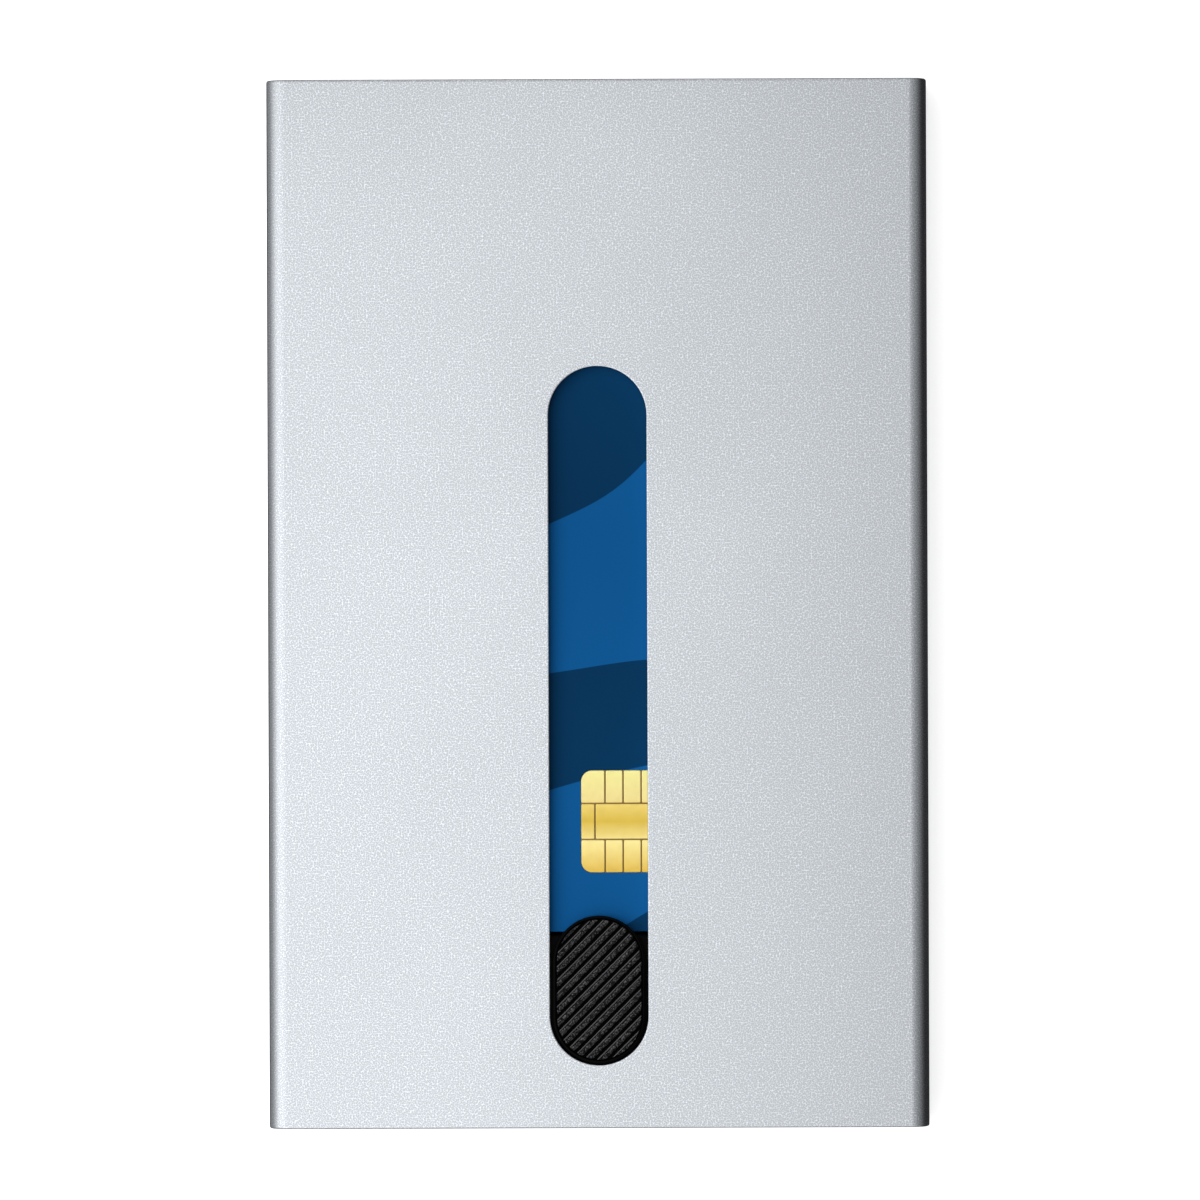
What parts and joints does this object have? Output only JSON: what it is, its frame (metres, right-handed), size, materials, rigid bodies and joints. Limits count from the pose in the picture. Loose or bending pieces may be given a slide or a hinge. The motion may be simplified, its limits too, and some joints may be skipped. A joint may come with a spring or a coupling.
{
  "type": "card case",
  "caption": "Flat aluminium card case with a long slot in its front and a ribbed thumb slider that pushes the cards out of its mouth.",
  "frame": {"origin": "centre of the flat back face, on which the case lies", "axes": "+Z from the back face to the slotted front face, +Y from the closed end to the mouth, +X across the case"},
  "size_m": [0.0668, 0.106, 0.0095],
  "materials": {
    "anodised_aluminium": "bead-blasted and clear anodised, satin",
    "black_plastic": "moulded, fine texture",
    "black_rubber": "soft-touch, grainy",
    "black_steel": "blackened",
    "dark_felt": "thin pressed felt",
    "spring_steel": "rolled strip",
    "blue_card": "printed and laminated, satin gloss",
    "gold_contacts": "gold plated",
    "chip_moulding": "cast resin",
    "stripe_black": "laminated tape",
    "panel_white": "printed, matt"
  },
  "bodies": {
    "case": {"sleeve": "anodised_aluminium", "base_plug": "black_plastic", "side_rail_left": "black_plastic", "side_rail_right": "black_plastic", "grip_strip_left": "black_rubber", "grip_strip_right": "black_rubber", "plug_screw_left": "black_steel", "plug_screw_right": "black_steel", "back_liner": "dark_felt"},
    "carriage_group": {"carriage": "black_plastic", "brake_spring_left": "spring_steel", "brake_spring_right": "spring_steel", "thumb_button": "black_plastic", "grip_inlay": "black_rubber"},
    "card_group": {"card": "blue_card", "chip_contacts": "gold_contacts", "chip_module": "chip_moulding", "magnetic_stripe": "stripe_black", "signature_panel": "panel_white"}
  },
  "joints": [
    {"name": "carriage_slide", "type": "slide", "parent": "case", "child": "carriage_group", "axis": [0, 1, 0], "range_m": [0, 0.0553]},
    {"name": "card_slide", "type": "slide", "parent": "carriage_group", "child": "card_group", "axis": [0, 1, 0], "range_m": [0, 0.088]}
  ]
}
